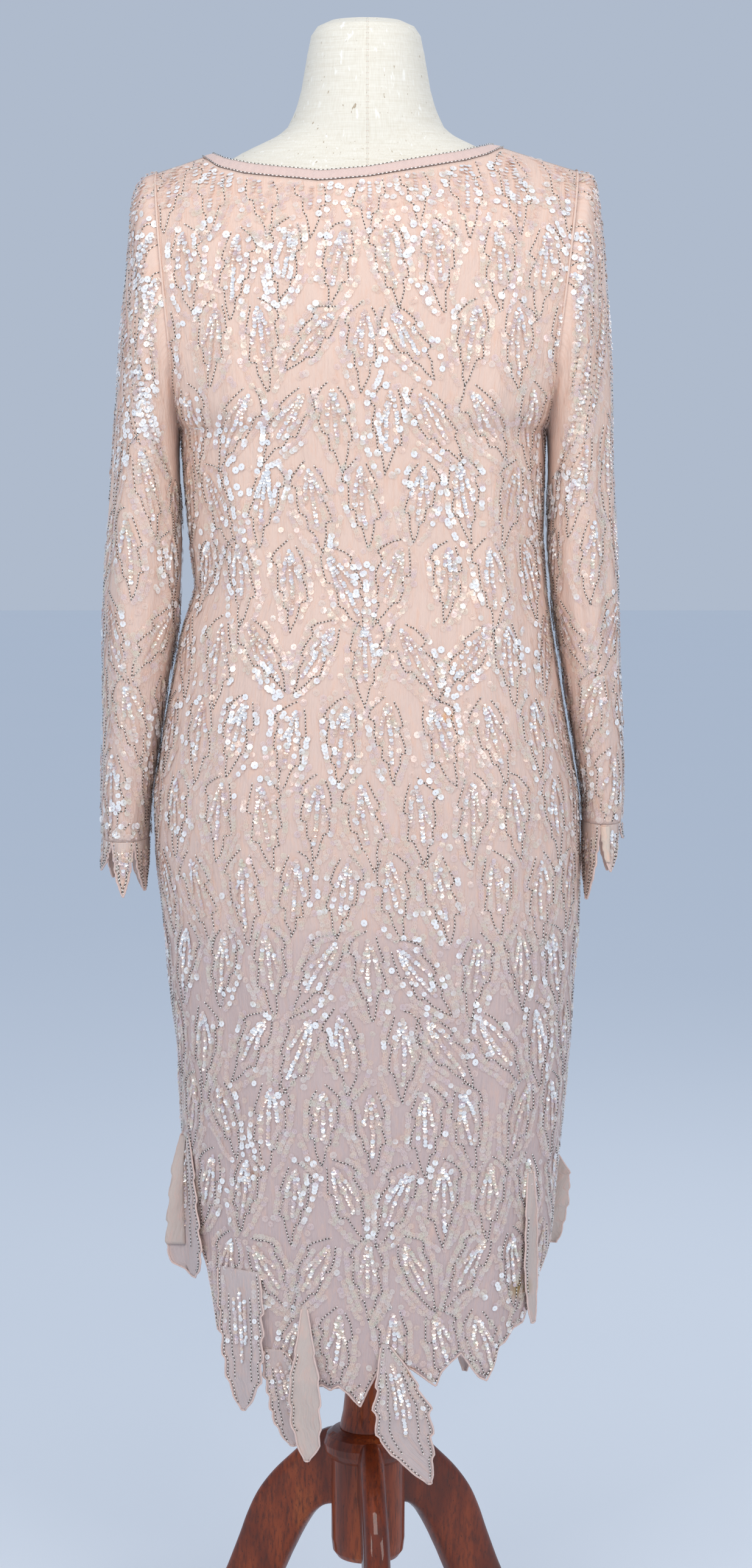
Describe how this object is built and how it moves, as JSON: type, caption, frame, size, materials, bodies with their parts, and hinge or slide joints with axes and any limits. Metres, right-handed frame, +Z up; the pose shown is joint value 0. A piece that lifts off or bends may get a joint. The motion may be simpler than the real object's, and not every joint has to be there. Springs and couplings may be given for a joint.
{
  "type": "beaded dress on a dress form with a tripod stand",
  "caption": "Long sleeved leaf-beaded cocktail dress with a leaf cut hem, worn by a limbless linen dress form on a turned wooden tripod stand.",
  "frame": {"origin": "on the floor, below the middle of the whole object's bounding box", "axes": "+Z up along the stand's post, the back of the dress faces -Y, its right side as seen from behind is +X"},
  "size_m": [0.4696, 0.3964, 1.538],
  "materials": {
    "dress_cloth": "matt crinkled georgette under clear sequins and beads",
    "bound_edge": "matt bound edge between two rows of beads",
    "form_linen": "matt flecked linen",
    "stand_wood": "glossy red-brown lacquer"
  },
  "bodies": {
    "root": {"cuff_left_leaf_back": "dress_cloth", "cuff_left_leaf_deep": "dress_cloth", "cuff_left_leaf_front": "dress_cloth", "cuff_left_leaf_inner": "dress_cloth", "cuff_left_leaf_outer": "dress_cloth", "cuff_right_leaf_back": "dress_cloth", "cuff_right_leaf_deep": "dress_cloth", "cuff_right_leaf_front": "dress_cloth", "cuff_right_leaf_inner": "dress_cloth", "cuff_right_leaf_outer": "dress_cloth", "dress_back": "dress_cloth", "dress_front": "dress_cloth", "form_torso": "form_linen", "hem_leaf_back_left": "dress_cloth", "hem_leaf_centre": "dress_cloth", "hem_leaf_folded": "dress_cloth", "hem_leaf_front_centre": "dress_cloth", "hem_leaf_front_left": "dress_cloth", "hem_leaf_front_right": "dress_cloth", "hem_leaf_lace": "dress_cloth", "hem_leaf_side_left": "dress_cloth", "hem_leaf_side_right": "dress_cloth", "hem_leaf_strip": "dress_cloth", "neck_band": "bound_edge", "sleeve_left": "dress_cloth", "sleeve_right": "dress_cloth", "stand_collar": "stand_wood", "stand_hub": "stand_wood", "stand_leg_front": "stand_wood", "stand_leg_left": "stand_wood", "stand_leg_right": "stand_wood", "stand_post": "stand_wood"}
  },
  "joints": []
}
